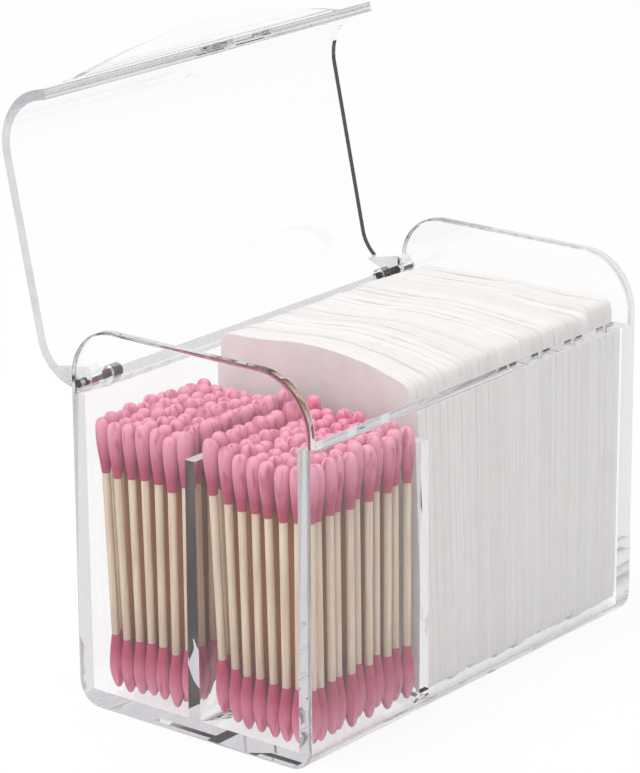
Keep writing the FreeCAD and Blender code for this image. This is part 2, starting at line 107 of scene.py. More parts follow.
@dataclass
class NodeTree:
    """A thin layer over a node tree, for short and readable wiring."""

    tree: bpy.types.NodeTree

    def add(self, kind: str, **values: object) -> bpy.types.Node:
        """Add a node.

        Args:
            kind: The node's type name without the words "ShaderNode".
            values: Settings of the node, or values of its sockets where the name is one of theirs.

        Returns:
            The new node.
        """
        node = self.tree.nodes.new(kind if kind.startswith("Node") else f"ShaderNode{kind}")
        for name, value in values.items():
            label = name.replace("_", " ")
            if label in node.inputs:
                node.inputs[label].default_value = value
            else:
                setattr(node, name, value)
        return node

    def link(self, source: Socket, target: Socket) -> None:
        """Join an output to an input."""
        self.tree.links.new(source, target)

    def place(self, source: str, stretch: Triple | None = None) -> Socket:
        """Add a coordinate.

        Args:
            source: "Object" or "UV".
            stretch: Its scale along each axis, where it has one.

        Returns:
            The coordinate.
        """
        place = self.add("TexCoord").outputs[source]
        if stretch is None:
            return place
        mapping = self.add("Mapping", Scale=stretch)
        self.link(place, mapping.inputs["Vector"])
        return mapping.outputs["Vector"]

    def pattern(self, place: Socket, **settings: float) -> Socket:
        """Add a noise pattern.

        Args:
            place: The coordinate that it follows.
            settings: The texture's values.

        Returns:
            The pattern's value.
        """
        texture = self.add("TexNoise", **settings)
        self.link(place, texture.inputs["Vector"])
        return texture.outputs["Fac"]

    def spread(self, value: Socket, start: Pair = (0.0, 1.0), end: Pair = (0.0, 1.0)) -> Socket:
        """Map a value from one range to another.

        Args:
            value: The value.
            start: The range that it comes from. What lies outside is clamped.
            end: The range that it goes to.

        Returns:
            The mapped value.
        """
        ramp = self.add("MapRange", From_Min=start[0], From_Max=start[1], To_Min=end[0], To_Max=end[1])
        self.link(value, ramp.inputs["Value"])
        return ramp.outputs["Result"]

    def blend(self, first: Socket | Colour, second: Colour, factor: Socket) -> Socket:
        """Mix a colour into another.

        Args:
            first: The colour where the factor is 0, plain or from an output.
            second: The colour where the factor is 1.
            factor: The factor.

        Returns:
            The mixed colour.
        """
        mix = self.add("Mix", data_type="RGBA")
        if isinstance(first, tuple):
            mix.inputs["A"].default_value = (*first, 1.0)
        else:
            self.link(first, mix.inputs["A"])
        mix.inputs["B"].default_value = (*second, 1.0)
        self.link(factor, mix.inputs["Factor"])
        return mix.outputs["Result"]

    def relief(self, height: Socket, strength: float, depth: float, under: Socket | None = None) -> Socket:
        """Turn a height into a normal.

        Args:
            height: The height.
            strength: How strongly it shows.
            depth: Its depth.
            under: The normal of another relief that it is added to, where there is one.

        Returns:
            The normal.
        """
        bump = self.add("Bump", Strength=strength, Distance=depth)
        self.link(height, bump.inputs["Height"])
        if under is not None:
            self.link(under, bump.inputs["Normal"])
        return bump.outputs["Normal"]

    def calculate(self, operation: str, *operands: Socket | float) -> Socket:
        """Combine some values.

        Args:
            operation: What is done with them.
            operands: The values, each an output or a plain number.

        Returns:
            The result.
        """
        node = self.add("Math", operation=operation)
        for index, operand in enumerate(operands):
            if isinstance(operand, float):
                node.inputs[index].default_value = operand
            else:
                self.link(operand, node.inputs[index])
        return node.outputs["Value"]

    def any_of(self, *signals: Socket) -> Socket:
        """Join signals of 0 or 1.

        Args:
            signals: The signals.

        Returns:
            A signal that is 1 where any of them is 1, and 0 elsewhere.
        """
        joined = signals[0]
        for signal in signals[1:]:
            joined = self.calculate("MAXIMUM", joined, signal)
        return joined

    def choose(self, signal: Socket, shaders: tuple[Socket, Socket], surface: Socket) -> None:
        """Show one of two shaders, or a mix of both.

        Args:
            signal: 0 for the first shader, 1 for the second, and a share of each in between.
            shaders: Both shaders.
            surface: The input that takes what is chosen.
        """
        mix = self.add("MixShader")
        self.link(signal, mix.inputs["Fac"])
        self.link(shaders[0], mix.inputs[1])
        self.link(shaders[1], mix.inputs[2])
        self.link(mix.outputs["Shader"], surface)


def fresh_material(name: str) -> tuple[bpy.types.Material, NodeTree, bpy.types.Node, bpy.types.Node]:
    """Make a node material with a Principled shader.

    Args:
        name: The material's name.

    Returns:
        The material, its tree, its Principled node and its output node.
    """
    material = bpy.data.materials.new(name)
    material.use_nodes = True
    nodes = material.node_tree.nodes
    return material, NodeTree(material.node_tree), nodes["Principled BSDF"], nodes["Material Output"]


def fibre_group() -> bpy.types.NodeTree:
    """Build the shared effect of loose cotton fibres.

    Returns:
        A group that turns a coordinate into a fine height and a mask of thick and thin cotton.
    """
    name = "CottonFibres"
    if name in bpy.data.node_groups:
        return bpy.data.node_groups[name]
    group = bpy.data.node_groups.new(name, "ShaderNodeTree")
    sides = (("Vector", "INPUT", "NodeSocketVector"), ("Fineness", "INPUT", "NodeSocketFloat"),
             ("Clumps", "INPUT", "NodeSocketFloat"), ("Height", "OUTPUT", "NodeSocketFloat"),
             ("Mask", "OUTPUT", "NodeSocketFloat"))
    for label, side, kind in sides:
        group.interface.new_socket(label, in_out=side, socket_type=kind)
    tree = NodeTree(group)
    inside = tree.add("NodeGroupInput")
    outside = tree.add("NodeGroupOutput")
    fine = tree.add("TexNoise", Detail=4.0, Roughness=0.7, Distortion=1.6)
    clumps = tree.add("TexNoise", Detail=2.0, Roughness=0.5, Distortion=0.4)
    blend = tree.add("Mix", data_type="FLOAT", Factor=0.4)
    for texture, scale in ((fine, "Fineness"), (clumps, "Clumps")):
        tree.link(inside.outputs["Vector"], texture.inputs["Vector"])
        tree.link(inside.outputs[scale], texture.inputs["Scale"])
    tree.link(fine.outputs["Fac"], blend.inputs["A"])
    tree.link(clumps.outputs["Fac"], blend.inputs["B"])
    tree.link(blend.outputs["Result"], outside.inputs["Height"])
    tree.link(clumps.outputs["Fac"], outside.inputs["Mask"])
    return group


def add_fibres(tree: NodeTree, place: Socket, fineness: float, clumps: float) -> bpy.types.Node:
    """Place the cotton fibres in a material.

    Args:
        tree: The material's tree.
        place: The coordinate that they follow.
        fineness: How fine the fibres are.
        clumps: How fine the thick and thin parts are.

    Returns:
        The group's node, with its outputs Height and Mask.
    """
    fibres = tree.add("Group", node_tree=fibre_group())
    fibres.inputs["Fineness"].default_value = fineness
    fibres.inputs["Clumps"].default_value = clumps
    tree.link(place, fibres.inputs["Vector"])
    return fibres


# ---------------------------------------------------------------- finishes


@dataclass(frozen=True)
class ClearAcrylic:
    """Polished clear plastic with the faint ripple of a moulded surface, and dark reflections painted in
    streaks into the colour of the faces that the mouldings mark.
    """

    tint: Colour = WHITE
    painted_edge_colour: Colour = (0.03, 0.03, 0.04)
    painted_streak_scale: float = 220.0
    painted_streak_range: Pair = (0.35, 0.6)
    faintest_painted_streak: float = 0.5
    surface_shine: Colour = (0.4, 0.4, 0.4)
    ior: float = 1.49
    wear_scale: float = 160.0
    roughness: Pair = (0.005, 0.02)
    ripple_scale: float = 28.0
    ripple_height: float = 0.02 * MM
    depth_colour: Colour = (0.10, 0.05, 0.15)
    depth_density: float = 3.0
    pass_tint: Colour = (0.99, 0.99, 0.99)
    inner_reflections: int = 12
    longest_path: int = 24

    def build(self) -> bpy.types.Material:
        """Make the material.

        Light that lamps send to the contents passes through, so that they are lit softly. A ray that has
        been reflected too often inside the plastic, or has grown too long, passes straight on.

        Returns:
            The finished material.
        """
        material, tree, glass, output = fresh_material("clear_acrylic")
        glass.inputs["IOR"].default_value = self.ior
        glass.inputs["Transmission Weight"].default_value = 1.0
        place = tree.place("Object")
        # Painted shade: the marked faces are darkened in streaks, standing in for reflections of dark
        # surroundings.
        painted_streaks = tree.pattern(place, Scale=self.painted_streak_scale, Detail=2.0)
        patchy_painted_shade = tree.spread(painted_streaks, self.painted_streak_range, (self.faintest_painted_streak, 1.0))
        edge = tree.add("Attribute", attribute_name="edge_shade").outputs["Fac"]
        body = tree.blend(self.tint, self.painted_edge_colour, tree.calculate("MULTIPLY", edge, patchy_painted_shade))
        inner_side = tree.add("NewGeometry").outputs["Backfacing"]
        shine = tree.blend(self.surface_shine, WHITE, inner_side)
        wear = tree.pattern(place, Scale=self.wear_scale, Detail=3.0)
        haze = tree.spread(wear, end=self.roughness)
        ripple = tree.pattern(place, Scale=self.ripple_scale, Detail=1.0)
        tree.link(body, glass.inputs["Base Color"])
        tree.link(shine, glass.inputs["Specular Tint"])
        tree.link(haze, glass.inputs["Roughness"])
        tree.link(tree.relief(ripple, 1.0, self.ripple_height), glass.inputs["Normal"])
        clear = tree.add("BsdfTransparent", Color=(*self.pass_tint, 1.0))
        path = tree.add("LightPath").outputs
        trapped = tree.calculate("GREATER_THAN", path["Glossy Depth"], self.inner_reflections - HALF_STEP)
        late = tree.calculate("GREATER_THAN", path["Ray Depth"], self.longest_path - HALF_STEP)
        passing = tree.any_of(path["Is Shadow Ray"], path["Is Diffuse Ray"], trapped, late)
        tree.choose(passing, (glass.outputs["BSDF"], clear.outputs["BSDF"]), output.inputs["Surface"])
        depth = tree.add("VolumeAbsorption", Color=(*self.depth_colour, 1.0), Density=self.depth_density)
        tree.link(depth.outputs["Volume"], output.inputs["Volume"])
        return material


@dataclass(frozen=True)
class SteelPin:
    """Drawn steel with fine marks round the pin."""

    colour: Colour = (0.09, 0.09, 0.1)
    mark_scale: float = 2500.0
    mark_stretch: Triple = (1.0, 0.05, 0.05)
    roughness: Pair = (0.22, 0.4)

    def build(self) -> bpy.types.Material:
        """Make the material.

        Returns:
            The finished material.
        """
        material, tree, steel, _ = fresh_material("drawn_steel")
        steel.inputs["Base Color"].default_value = (*self.colour, 1.0)
        steel.inputs["Metallic"].default_value = 1.0
        marks = tree.pattern(tree.place("Object", self.mark_stretch), Scale=self.mark_scale, Detail=3.0)
        tree.link(tree.spread(marks, end=self.roughness), steel.inputs["Roughness"])
        return material


@dataclass(frozen=True)
class Cotton:
    """Matt cotton: loose fibres with a soft sheen, in a light and a deep shade."""

    name: str
    light: Colour
    deep: Colour
    fineness: float
    clumps: float
    relief: float
    along: Triple = (1.0, 1.0, 1.0)
    follows_surface: bool = False
    roughness: float = 0.95
    gloss: float = 0.15
    sheen: float = 0.1
    sheen_roughness: float = 0.6
    scatter: float = 0.1
    scatter_depth: float = 1.0 * MM
    scatter_reach: Colour = (1.0, 0.8, 0.8)
    clump_range: Pair = (0.25, 0.5)
    fibre_strength: float = 0.8
    root_painted_shade: float = 0.0
    painted_root_range: Pair = (0.2, 1.0)
    ply_relief: float = 0.0
    ply_fineness: float = 850.0
    ply_clumps: float = 255.0
    ply_stretch: Triple = (1.0, 0.025, 0.02)
    ply_range: Pair = (0.42, 0.58)
    ply_share: float = 0.8
    ply_painted_shade: float = 0.94
    ply_strength: float = 0.7

    def build(self) -> bpy.types.Material:
        """Make the material.

        Returns:
            The finished material.
        """
        material, tree, cotton, _ = fresh_material(self.name)
        cotton.inputs["Roughness"].default_value = self.roughness
        cotton.inputs["Specular IOR Level"].default_value = self.gloss
        cotton.inputs["Sheen Weight"].default_value = self.sheen
        cotton.inputs["Sheen Roughness"].default_value = self.sheen_roughness
        cotton.inputs["Subsurface Weight"].default_value = self.scatter
        cotton.inputs["Subsurface Scale"].default_value = self.scatter_depth
        cotton.inputs["Subsurface Radius"].default_value = self.scatter_reach
        place = tree.place("UV" if self.follows_surface else "Object", self.along)
        fibres = add_fibres(tree, place, self.fineness, self.clumps)
        colour = tree.blend(self.deep, self.light, tree.spread(fibres.outputs["Mask"], self.clump_range))
        normal = tree.relief(fibres.outputs["Height"], self.fibre_strength, self.relief)
        if self.root_painted_shade:
            colour = self.with_painted_root_shade(tree, colour)
        if self.ply_relief:
            colour, normal = self.with_plies(tree, colour, normal)
        tree.link(colour, cotton.inputs["Base Color"])
        tree.link(normal, cotton.inputs["Normal"])
        return material

    def with_painted_root_shade(self, tree: NodeTree, colour: Socket) -> Socket:
        """Deepen the colour towards the stick: painted shade where the tips crowd round the sticks, and
        partly the cotton wound thin there.

        Args:
            tree: The material's tree.
            colour: The colour so far.

        Returns:
            The new colour.
        """
        split = tree.add("SeparateXYZ")
        tree.link(tree.place("UV"), split.inputs["Vector"])
        # Painted shade, full at the stick and gone by the tip's end.
        root = tree.spread(split.outputs["Y"], self.painted_root_range, (self.root_painted_shade, 0.0))
        return tree.blend(colour, self.deep, root)

    def with_plies(self, tree: NodeTree, colour: Socket, normal: Socket) -> tuple[Socket, Socket]:
        """Add the uneven lines of thin plies, which lie across the length of the box: a bump, and painted
        shade in the gaps between them.

        Args:
            tree: The material's tree.
            colour: The colour so far.
            normal: The normal of the fibres.

        Returns:
            The new colour and the new normal.
        """
        plies = add_fibres(tree, tree.place("Object", self.ply_stretch), self.ply_fineness, self.ply_clumps)
        height = plies.outputs["Height"]
        # Painted shade: the gaps between plies are darkened towards the deep colour.
        painted_gap_shade = tree.spread(height, self.ply_range, (0.0, self.ply_share))
        with_painted_gaps = tree.blend(colour, tuple(part * self.ply_painted_shade for part in self.deep), painted_gap_shade)
        return with_painted_gaps, tree.relief(height, self.ply_strength, self.ply_relief, normal)


@dataclass(frozen=True)
class BirchStick:
    """Pale turned wood with fine grain along the stick, and a brown painted shade where it stands inside a
    bundle.
    """

    light: Colour = (0.82, 0.69, 0.55)
    dark: Colour = (0.68, 0.50, 0.34)
    shaded: Colour = (0.50, 0.17, 0.03)
    roughness: float = 0.5
    grain_scale: float = 1500.0
    grain_stretch: Triple = (1.0, 1.0, 0.04)
    grain_range: Pair = (0.35, 0.7)
    grain_strength: float = 0.5
    grain_depth: float = 0.05 * MM

    def build(self) -> bpy.types.Material:
        """Make the material.

        Returns:
            The finished material.
        """
        material, tree, wood, _ = fresh_material("birch")
        wood.inputs["Roughness"].default_value = self.roughness
        place = tree.place("Object", self.grain_stretch)
        grain = tree.pattern(place, Scale=self.grain_scale, Detail=4.0, Distortion=0.3)
        plain = tree.blend(self.light, self.dark, tree.spread(grain, self.grain_range))
        # Painted shade: sticks inside a bundle are mixed towards a deep brown, standing in for the shade
        # between them.
        within = tree.add("Attribute", attribute_name="within").outputs["Fac"]
        tree.link(tree.blend(plain, self.shaded, within), wood.inputs["Base Color"])
        normal = tree.relief(grain, self.grain_strength, self.grain_depth)
        tree.link(normal, wood.inputs["Normal"])
        return material


# ---------------------------------------------------------------- mesh helpers


def select_none() -> None:
    """Deselect everything."""
    for item in bpy.context.view_layer.objects:
        item.select_set(False)


def select_only(*objects: bpy.types.Object) -> None:
    """Select some objects and nothing else.

    Args:
        objects: The objects. The first one becomes the active one.
    """
    select_none()
    for item in objects:
        item.select_set(True)
    bpy.context.view_layer.objects.active = objects[0]


def dress(piece: bpy.types.Object, material: bpy.types.Material) -> None:
    """Give a piece one material."""
    piece.data.materials.clear()
    piece.data.materials.append(material)


def declare(piece: bpy.types.Object, body: Body, node: str) -> None:
    """Put a piece on its body and hide the CAD node that it takes the place of.

    Args:
        piece: The piece.
        body: The body that it rides on.
        node: The CAD node that it stands for, alone or with another piece.
    """
    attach(piece, body.value)
    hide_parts(node)


def turned_piece(name: str, profile: list[Pair], sides: int) -> bpy.types.Object:
    """Model a round piece about the Z axis, as a circle extruded and scaled from station to station.

    Args:
        name: The piece's name.
        profile: Radius and height of each station, from the lowest up.
        sides: How many sides the circle has.

    Returns:
        The closed piece, shaded smooth.
    """
    first_radius, first_height = profile[0]
    select_none()
    bpy.ops.mesh.primitive_circle_add(vertices=sides, radius=first_radius, fill_type="NGON",
                                      location=(0.0, 0.0, first_height))
    piece = bpy.context.active_object
    piece.name = name
    bpy.ops.object.transform_apply(location=True)
    bpy.ops.object.mode_set(mode="EDIT")
    bpy.ops.mesh.select_all(action="SELECT")
    for (radius, height), (next_radius, next_height) in zip(profile, profile[1:]):
        move = {"value": (0.0, 0.0, next_height - height)}
        bpy.ops.mesh.extrude_region_move(TRANSFORM_OT_translate=move)
        share = next_radius / radius
        bpy.ops.transform.resize(value=(share, share, 1.0), center_override=(0.0, 0.0, next_height))
    bpy.ops.mesh.select_all(action="SELECT")
    bpy.ops.mesh.normals_make_consistent(inside=False)
    bpy.ops.object.mode_set(mode="OBJECT")
    bpy.ops.object.shade_smooth()
    return piece


def wrap_round(piece: bpy.types.Object, start: float, length: float) -> None:
    """Give a tip a UV map: once round it, and along it from 0 at the stick.

    Args:
        piece: The tip.
        start: The height at which it starts on the stick.
        length: How far from there the map comes to 1, below zero where the tip points down.
    """
    layer = piece.data.uv_layers.active or piece.data.uv_layers.new(name="UVMap")
    for face in piece.data.polygons:
        middle = math.atan2(face.center.y, face.center.x)
        for loop in face.loop_indices:
            point = piece.data.vertices[piece.data.loops[loop].vertex_index].co
            turn = math.atan2(point.y, point.x)
            if turn - middle > math.pi:
                turn -= 2.0 * math.pi
            elif middle - turn > math.pi:
                turn += 2.0 * math.pi
            layer.data[loop].uv = (turn / (2.0 * math.pi), (point.z - start) / length)


def copy_at(template: bpy.types.Object, place: Matrix) -> bpy.types.Object:
    """Copy a template with a mesh of its own.

    Args:
        template: The piece modelled once.
        place: Where the copy goes.

    Returns:
        The copy, with its place in its mesh.
    """
    mesh = template.data.copy()
    mesh.transform(place)
    piece = bpy.data.objects.new(template.name, mesh)
    bpy.context.scene.collection.objects.link(piece)
    return piece


def turn_fibres(piece: bpy.types.Object, shift: float) -> None:
    """Shift a tip's UV map round the tip, so that no two tips show the same fibres."""
    for item in piece.data.uv_layers.active.data:
        item.uv = (item.uv[0] + shift, item.uv[1])


def mark(piece: bpy.types.Object, name: str, domain: str, values: list[float]) -> None:
    """Write one number for each point or face of a piece, for its finish to read.

    Args:
        piece: The piece.
        name: The attribute's name.
        domain: "POINT" or "FACE".
        values: The numbers.
    """
    attribute = piece.data.attributes.new(name, "FLOAT", domain)
    attribute.data.foreach_set("value", values)


def join(pieces: list[bpy.types.Object], name: str) -> bpy.types.Object:
    """Join pieces into one.

    Args:
        pieces: The pieces.
        name: The name of what they become.

    Returns:
        The joined piece.
    """
    select_only(*pieces)
    if len(pieces) > 1:
        bpy.ops.object.join()
    pieces[0].name = name
    pieces[0].data.name = name
    return pieces[0]


# ---------------------------------------------------------------- sub-assemblies


@dataclass
class ClearMouldings:
    """The box and its lid, as smooth copies of the CAD solids.

    A slant is how much a face looks along the box's length, from 0 to 1, and a tilt how much it looks
    up or down. Above the rim the faces are the arches', and their painted shade, which stands in for
    dark reflections, grows from back_from over the length of back_over.
    """

    finish: ClearAcrylic = field(default_factory=ClearAcrylic)
    merge_below: float = 0.001 * MM
    smooth_below: float = 20.0
    rim: float = 86.2 * MM
    lid_ends: float = 60.0 * MM
    back_from: float = -20.0 * MM
    back_over: float = 50.0 * MM
    end_slant: float = 0.97
    flat_slant: float = 0.08
    upright_tilt: float = 0.05
    arch_shade: Pair = (0.5, 1.0)
    lid_shade: float = 0.3
    band_shade: float = 0.4
    corner_shade: float = 0.6

    def edge_shade(self, face: bpy.types.MeshPolygon, body: Body) -> float:
        """Say how much painted shade, standing in for dark reflections, a face gets: the arches' edges,
        most at the back, two corners and the lid's ends.

        Args:
            face: The face.
            body: The body that it belongs to.

        Returns:
            Its painted shade, from 0 for clear to 1.
        """
        slant = abs(face.normal.x)
        if body is Body.LID:
            return self.lid_shade if slant > self.end_slant and abs(face.center.x) > self.lid_ends else 0.0
        if slant > self.end_slant:
            return 0.0
        back = min(max((face.center.y - self.back_from) / self.back_over, 0.0), 1.0)
        if face.center.z < self.rim:
            upright = slant > self.flat_slant and abs(face.normal.z) < self.upright_tilt
            return self.corner_shade if upright and face.center.x * face.center.y < 0.0 else 0.0
        if slant < self.flat_slant:
            return self.band_shade * back
        return self.arch_shade[0] + (self.arch_shade[1] - self.arch_shade[0]) * back

    def smooth_copy(self, node: str, name: str) -> bpy.types.Object:
        """Copy a CAD solid, merge its loose triangles and shade its curves smooth.

        Args:
            node: The CAD node.
            name: The new piece's name.

        Returns:
            The copy.
        """
        mesh = frame["nodes"][node].data.copy()
        piece = bpy.data.objects.new(name, mesh)
        bpy.context.scene.collection.objects.link(piece)
        select_only(piece)
        bpy.ops.object.mode_set(mode="EDIT")
        bpy.ops.mesh.select_all(action="SELECT")
        bpy.ops.mesh.remove_doubles(threshold=self.merge_below)
        bpy.ops.object.mode_set(mode="OBJECT")
        bpy.ops.object.shade_smooth_by_angle(angle=math.radians(self.smooth_below))
        flat = piece.modifiers.new("Flat", "WEIGHTED_NORMAL")
        flat.keep_sharp = True
        bpy.ops.object.modifier_apply(modifier=flat.name)
        return piece

    def build(self) -> None:
        """Build and dress the box and the lid."""
        material = self.finish.build()
        for node, name, body in (("box_body", "clear_box", Body.BOX), ("lid", "clear_lid", Body.LID)):
            piece = self.smooth_copy(node, name)
            # Painted shade: how dark each face is painted, for the dark reflections that the clear plastic
            # shows.
            shades = [self.edge_shade(face, body) for face in piece.data.polygons]
            mark(piece, "edge_shade", "FACE", shades)
            dress(piece, material)
            declare(piece, body, node)
            LOG.info("%s: %d faces", name, len(piece.data.polygons))


@dataclass
class HingePins:
    """The two steel pins, which keep their CAD solids."""

    finish: SteelPin = field(default_factory=SteelPin)

    def build(self) -> None:
        """Dress both pins."""
        material = self.finish.build()
        for side in ("left", "right"):
            dress(frame["nodes"][f"hinge_pin_{side}"], material)
            LOG.info("hinge_pin_%s dressed", side)


@dataclass
class SwabLane:
    """One compartment of cotton swabs, row by row, each swab leaning a little its own way.

    Every second row lies nearer to the back by row_shift. Feet stand in from the left and the back of
    the lane by up to foot_in, and clear of its front by foot_clear. The swabs beside the divider stand
    higher by divider_rise, and their heads lean over it by over_divider.
    """

    lane: Lane
    rows: int = 11
    swabs_per_row: int = 7
    half_swab: float = 1.949 * MM
    tip_length: float = 15.0 * MM
    lower_wrap: float = 1.25
    stick_from: float = 0.8
    stick_lengths: int = 3
    stick_radius: float = 1.15 * MM
    foot_in: Pair = (1.3 * MM, 2.2 * MM)
    row_shift: float = 1.3 * MM
    over_divider: float = 0.2 * MM
    divider_rise: float = 2.2 * MM
    foot_clear: float = 0.45 * MM
    floor_clear: float = 0.05 * MM
    stagger: float = 0.4 * MM
    foot_stagger: float = 0.6
    lift: float = 1.6 * MM
    widest_turn: float = 6.28
    widest_shift: float = 9.0
    upper_shift: float = 0.5
    painted_bundle_shade_at_divider: float = 0.3
    tip_sides: int = 14
    stick_sides: int = 10

    @property
    def upper_profile(self) -> list[Pair]:
        """Radius and height of the round upper tip, from its end to the stick."""
        shape = ((0.6, 0.0), (1.35, 0.3), (1.82, 0.95), (2.08, 2.0), (2.17, 3.4), (2.17, 5.0),
                 (2.05, 7.2), (1.78, 9.8), (1.46, 12.2), (1.25, 14.3), (1.16, 15.0))
        return [(radius * MM, height * MM) for radius, height in shape]

    @property
    def lower_profile(self) -> list[Pair]:
        """Radius and height of the twisted lower tip, from its point to the stick."""
        shape = ((0.3, 0.0), (0.75, 0.35), (1.15, 1.2), (1.6, 2.6), (1.98, 4.3), (2.14, 6.0),
                 (2.08, 8.0), (1.85, 10.2), (1.5, 12.6), (1.25, 14.4), (1.16, 15.0))
        return [(radius * MM, height * MM) for radius, height in shape]

    def templates(self, length: float) -> tuple[bpy.types.Object, bpy.types.Object, bpy.types.Object]:
        """Model one lower tip, one upper tip and one stick, standing on the origin.

        Args:
            length: The swab's whole length.

        Returns:
            The lower tip, the upper tip and the stick.
        """
        lower = turned_piece("lower_tip", self.lower_profile, self.tip_sides)
        # The lower tip's map ends at 0.8, not 1, so a little painted root shade reaches its point.
        wrap_round(lower, self.tip_length, -self.lower_wrap * self.tip_length)
        turned = [(radius, length - height) for radius, height in reversed(self.upper_profile)]
        upper = turned_piece("upper_tip", turned, self.tip_sides)
        wrap_round(upper, length - self.tip_length, self.tip_length)
        start = self.tip_length * self.stick_from
        bare = length - 2 * start
        heights = [start + bare * step / self.stick_lengths for step in range(self.stick_lengths + 1)]
        stick = turned_piece("stick", [(self.stick_radius, height) for height in heights], self.stick_sides)
        return lower, upper, stick

    def build(self, cotton: bpy.types.Material, wood: bpy.types.Material) -> None:
        """Build every row and remove the templates.

        Args:
            cotton: The finish of the tips.
            wood: The finish of the sticks.
        """
        low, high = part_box(f"swabs_{self.lane.value}_01")
        templates = self.templates(high.z - low.z)
        chance = random.Random(f"{SEED}{self.lane.value}")
        for row in range(1, self.rows + 1):
            self.build_row(row, templates, chance, cotton, wood)
        for item in templates:
            bpy.data.objects.remove(item)

    def place_swab(self, top: Vector, share: Pair, lean: float, length: float,
                   chance: random.Random) -> Matrix:
        """Work out where one swab stands.

        Args:
            top: The middle of its upper end, when it stands upright.
            share: How far it stands from the right and from the front of its lane, from 0 to 1.
            lean: How far its upper end leans over the divider.
            length: The swab's whole length.
            chance: The lane's own source of small differences.

        Returns:
            The turn and shift of a swab modelled on the origin.
        """
        jitter = [chance.uniform(-1.0, 1.0) * self.stagger for _ in range(4)]
        head = top + Vector((jitter[0], jitter[1], 0.0))
        inward = self.foot_clear * (1.0 - share[1]) - self.foot_in[1] * share[1] - lean
        across = self.foot_in[0] * share[0] + jitter[2] * self.foot_stagger
        foot = top + Vector((across, inward + jitter[3] * self.foot_stagger, -length))
        lift = Vector((0.0, 0.0, self.floor_clear + self.lift * chance.random() ** 2))
        tilt = Vector((0.0, 0.0, 1.0)).rotation_difference(head - foot).to_matrix().to_4x4()
        turn = Matrix.Rotation(chance.uniform(0.0, self.widest_turn), 4, "Z")
        return Matrix.Translation(foot + lift) @ tilt @ turn

    def build_row(self, row: int, templates: tuple[bpy.types.Object, ...], chance: random.Random,
                  cotton: bpy.types.Material, wood: bpy.types.Material) -> None:
        """Build the tips and the sticks of one row.

        Args:
            row: The row's number, from the left.
            templates: The lower tip, the upper tip and the stick.
            chance: The lane's own source of small differences.
            cotton: The finish of the tips.
            wood: The finish of the sticks.
        """
        node = f"swabs_{self.lane.value}_{row:02d}"
        low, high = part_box(node)
        last = self.swabs_per_row - 1
        step = (high.y - low.y - 2 * self.half_swab) / last
        inner, outer = (last, 0) if self.lane is Lane.FRONT else (0, last)
        tips: list[bpy.types.Object] = []
        sticks: list[bpy.types.Object] = []
        for number in range(self.swabs_per_row):
            share = (1.0 - (row - 1) / (self.rows - 1), number / last)
            depth = low.y + self.half_swab + step * number
            depth += self.row_shift * (share[1] if row % 2 else share[1] - 1.0)
            # Painted shade for the stick: full inside the bundle, less beside the divider, none in the
            # outer rows.
            lean, rise, within = 0.0, 0.0, 1.0
            if number == inner:
                lean = self.over_divider if self.lane is Lane.FRONT else -self.over_divider
                rise, within = self.divider_rise, self.painted_bundle_shade_at_divider
            if row == 1 or number == outer:
                within = 0.0
            top = Vector(((low.x + high.x) / 2, depth + lean, high.z + rise))
            place = self.place_swab(top, share, lean, high.z - low.z, chance)
            lower, upper, stick = (copy_at(template, place) for template in templates)
            shift = chance.uniform(0.0, self.widest_shift)
            turn_fibres(lower, shift)
            turn_fibres(upper, shift + self.upper_shift)
            mark(stick, "within", "POINT", [within] * len(stick.data.vertices))
            tips += [lower, upper]
            sticks.append(stick)
        for pieces, name, material, slot in ((tips, "tips", cotton, Slot.PINK),
                                             (sticks, "sticks", wood, Slot.WOOD)):
            piece = join(pieces, f"swab_{name}_{self.lane.value}_{row:02d}")
            dress(piece, material)
            declare(piece, Body.BOX, node)
        LOG.info("%s: %d swabs", node, self.swabs_per_row)


def waves(scale: Triple, *place: float) -> float:
    """Read smooth noise between about -1 and 1 at a place, after scaling each of its parts."""
    return noise.noise(Vector([part * size for part, size in zip(place, scale)]))


